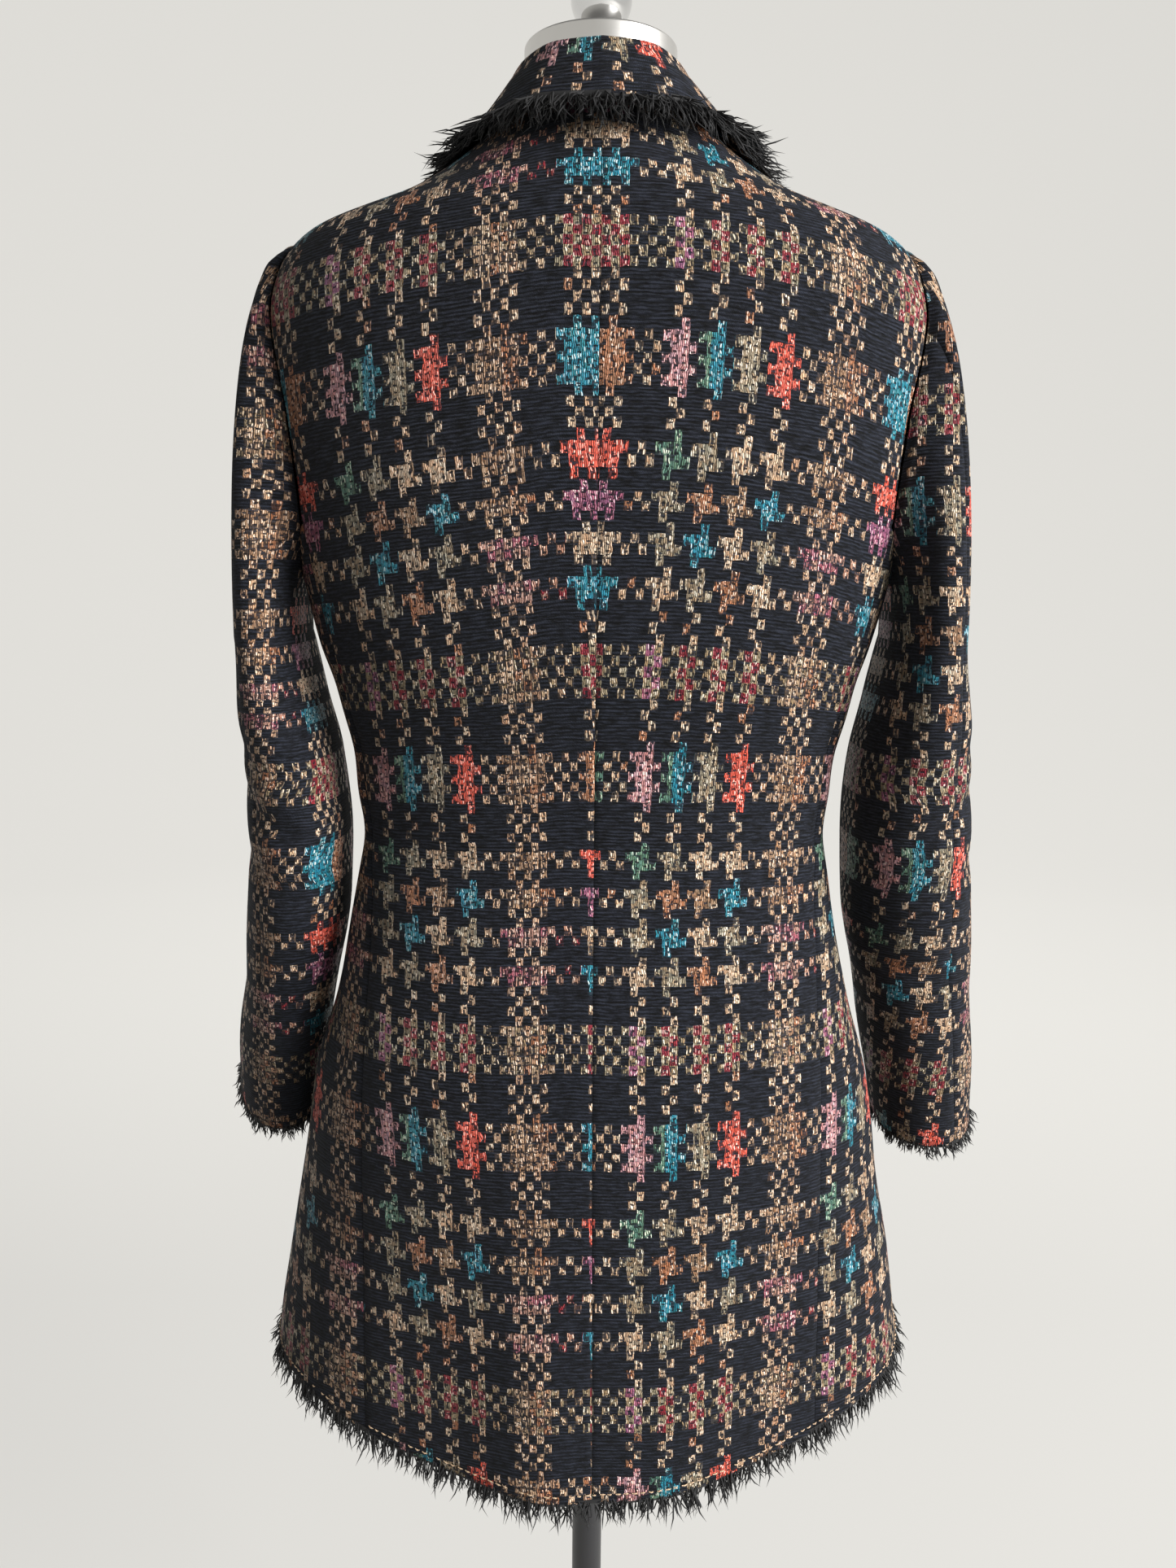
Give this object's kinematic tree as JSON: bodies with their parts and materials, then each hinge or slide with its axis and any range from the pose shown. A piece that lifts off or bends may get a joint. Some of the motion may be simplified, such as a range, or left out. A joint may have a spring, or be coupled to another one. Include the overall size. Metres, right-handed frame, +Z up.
{
  "type": "plaid coat on a dress form stand",
  "caption": "Fitted hip-length coat with a rolled collar, two-piece sleeves and fringed edges, standing on a limbless dress form with a round base.",
  "frame": {"origin": "centre of the round base's underside, on the floor", "axes": "+Z up; +Y to the coat's front, so the back faces -Y; +X to the wearer's right"},
  "size_m": [0.5688, 0.35, 1.527],
  "materials": {
    "plaid_cloth": "woven star check in coloured yarns on near-black",
    "black_fringe": "cut black fringe, slightly shiny",
    "button_plastic": "dark, polished",
    "form_cover": "plain linen cover",
    "brushed_metal": "brushed",
    "chrome_metal": "polished",
    "dark_paint": "dark satin paint"
  },
  "bodies": {
    "root": {"coat_back_left": "plaid_cloth", "coat_back_right": "plaid_cloth", "coat_side_left": "plaid_cloth", "coat_side_right": "plaid_cloth", "coat_front_left": "plaid_cloth", "coat_front_right": "plaid_cloth", "sleeve_top_left": "plaid_cloth", "sleeve_under_left": "plaid_cloth", "sleeve_top_right": "plaid_cloth", "sleeve_under_right": "plaid_cloth", "collar": "plaid_cloth", "fringe_hem": "black_fringe", "fringe_collar": "black_fringe", "fringe_cuff_left": "black_fringe", "fringe_cuff_right": "black_fringe", "button_1": "button_plastic", "button_2": "button_plastic", "button_3": "button_plastic", "button_4": "button_plastic", "form_torso": "form_cover", "neck_plate": "brushed_metal", "neck_knob": "chrome_metal", "stand_pole": "dark_paint", "stand_base": "dark_paint"}
  },
  "joints": []
}
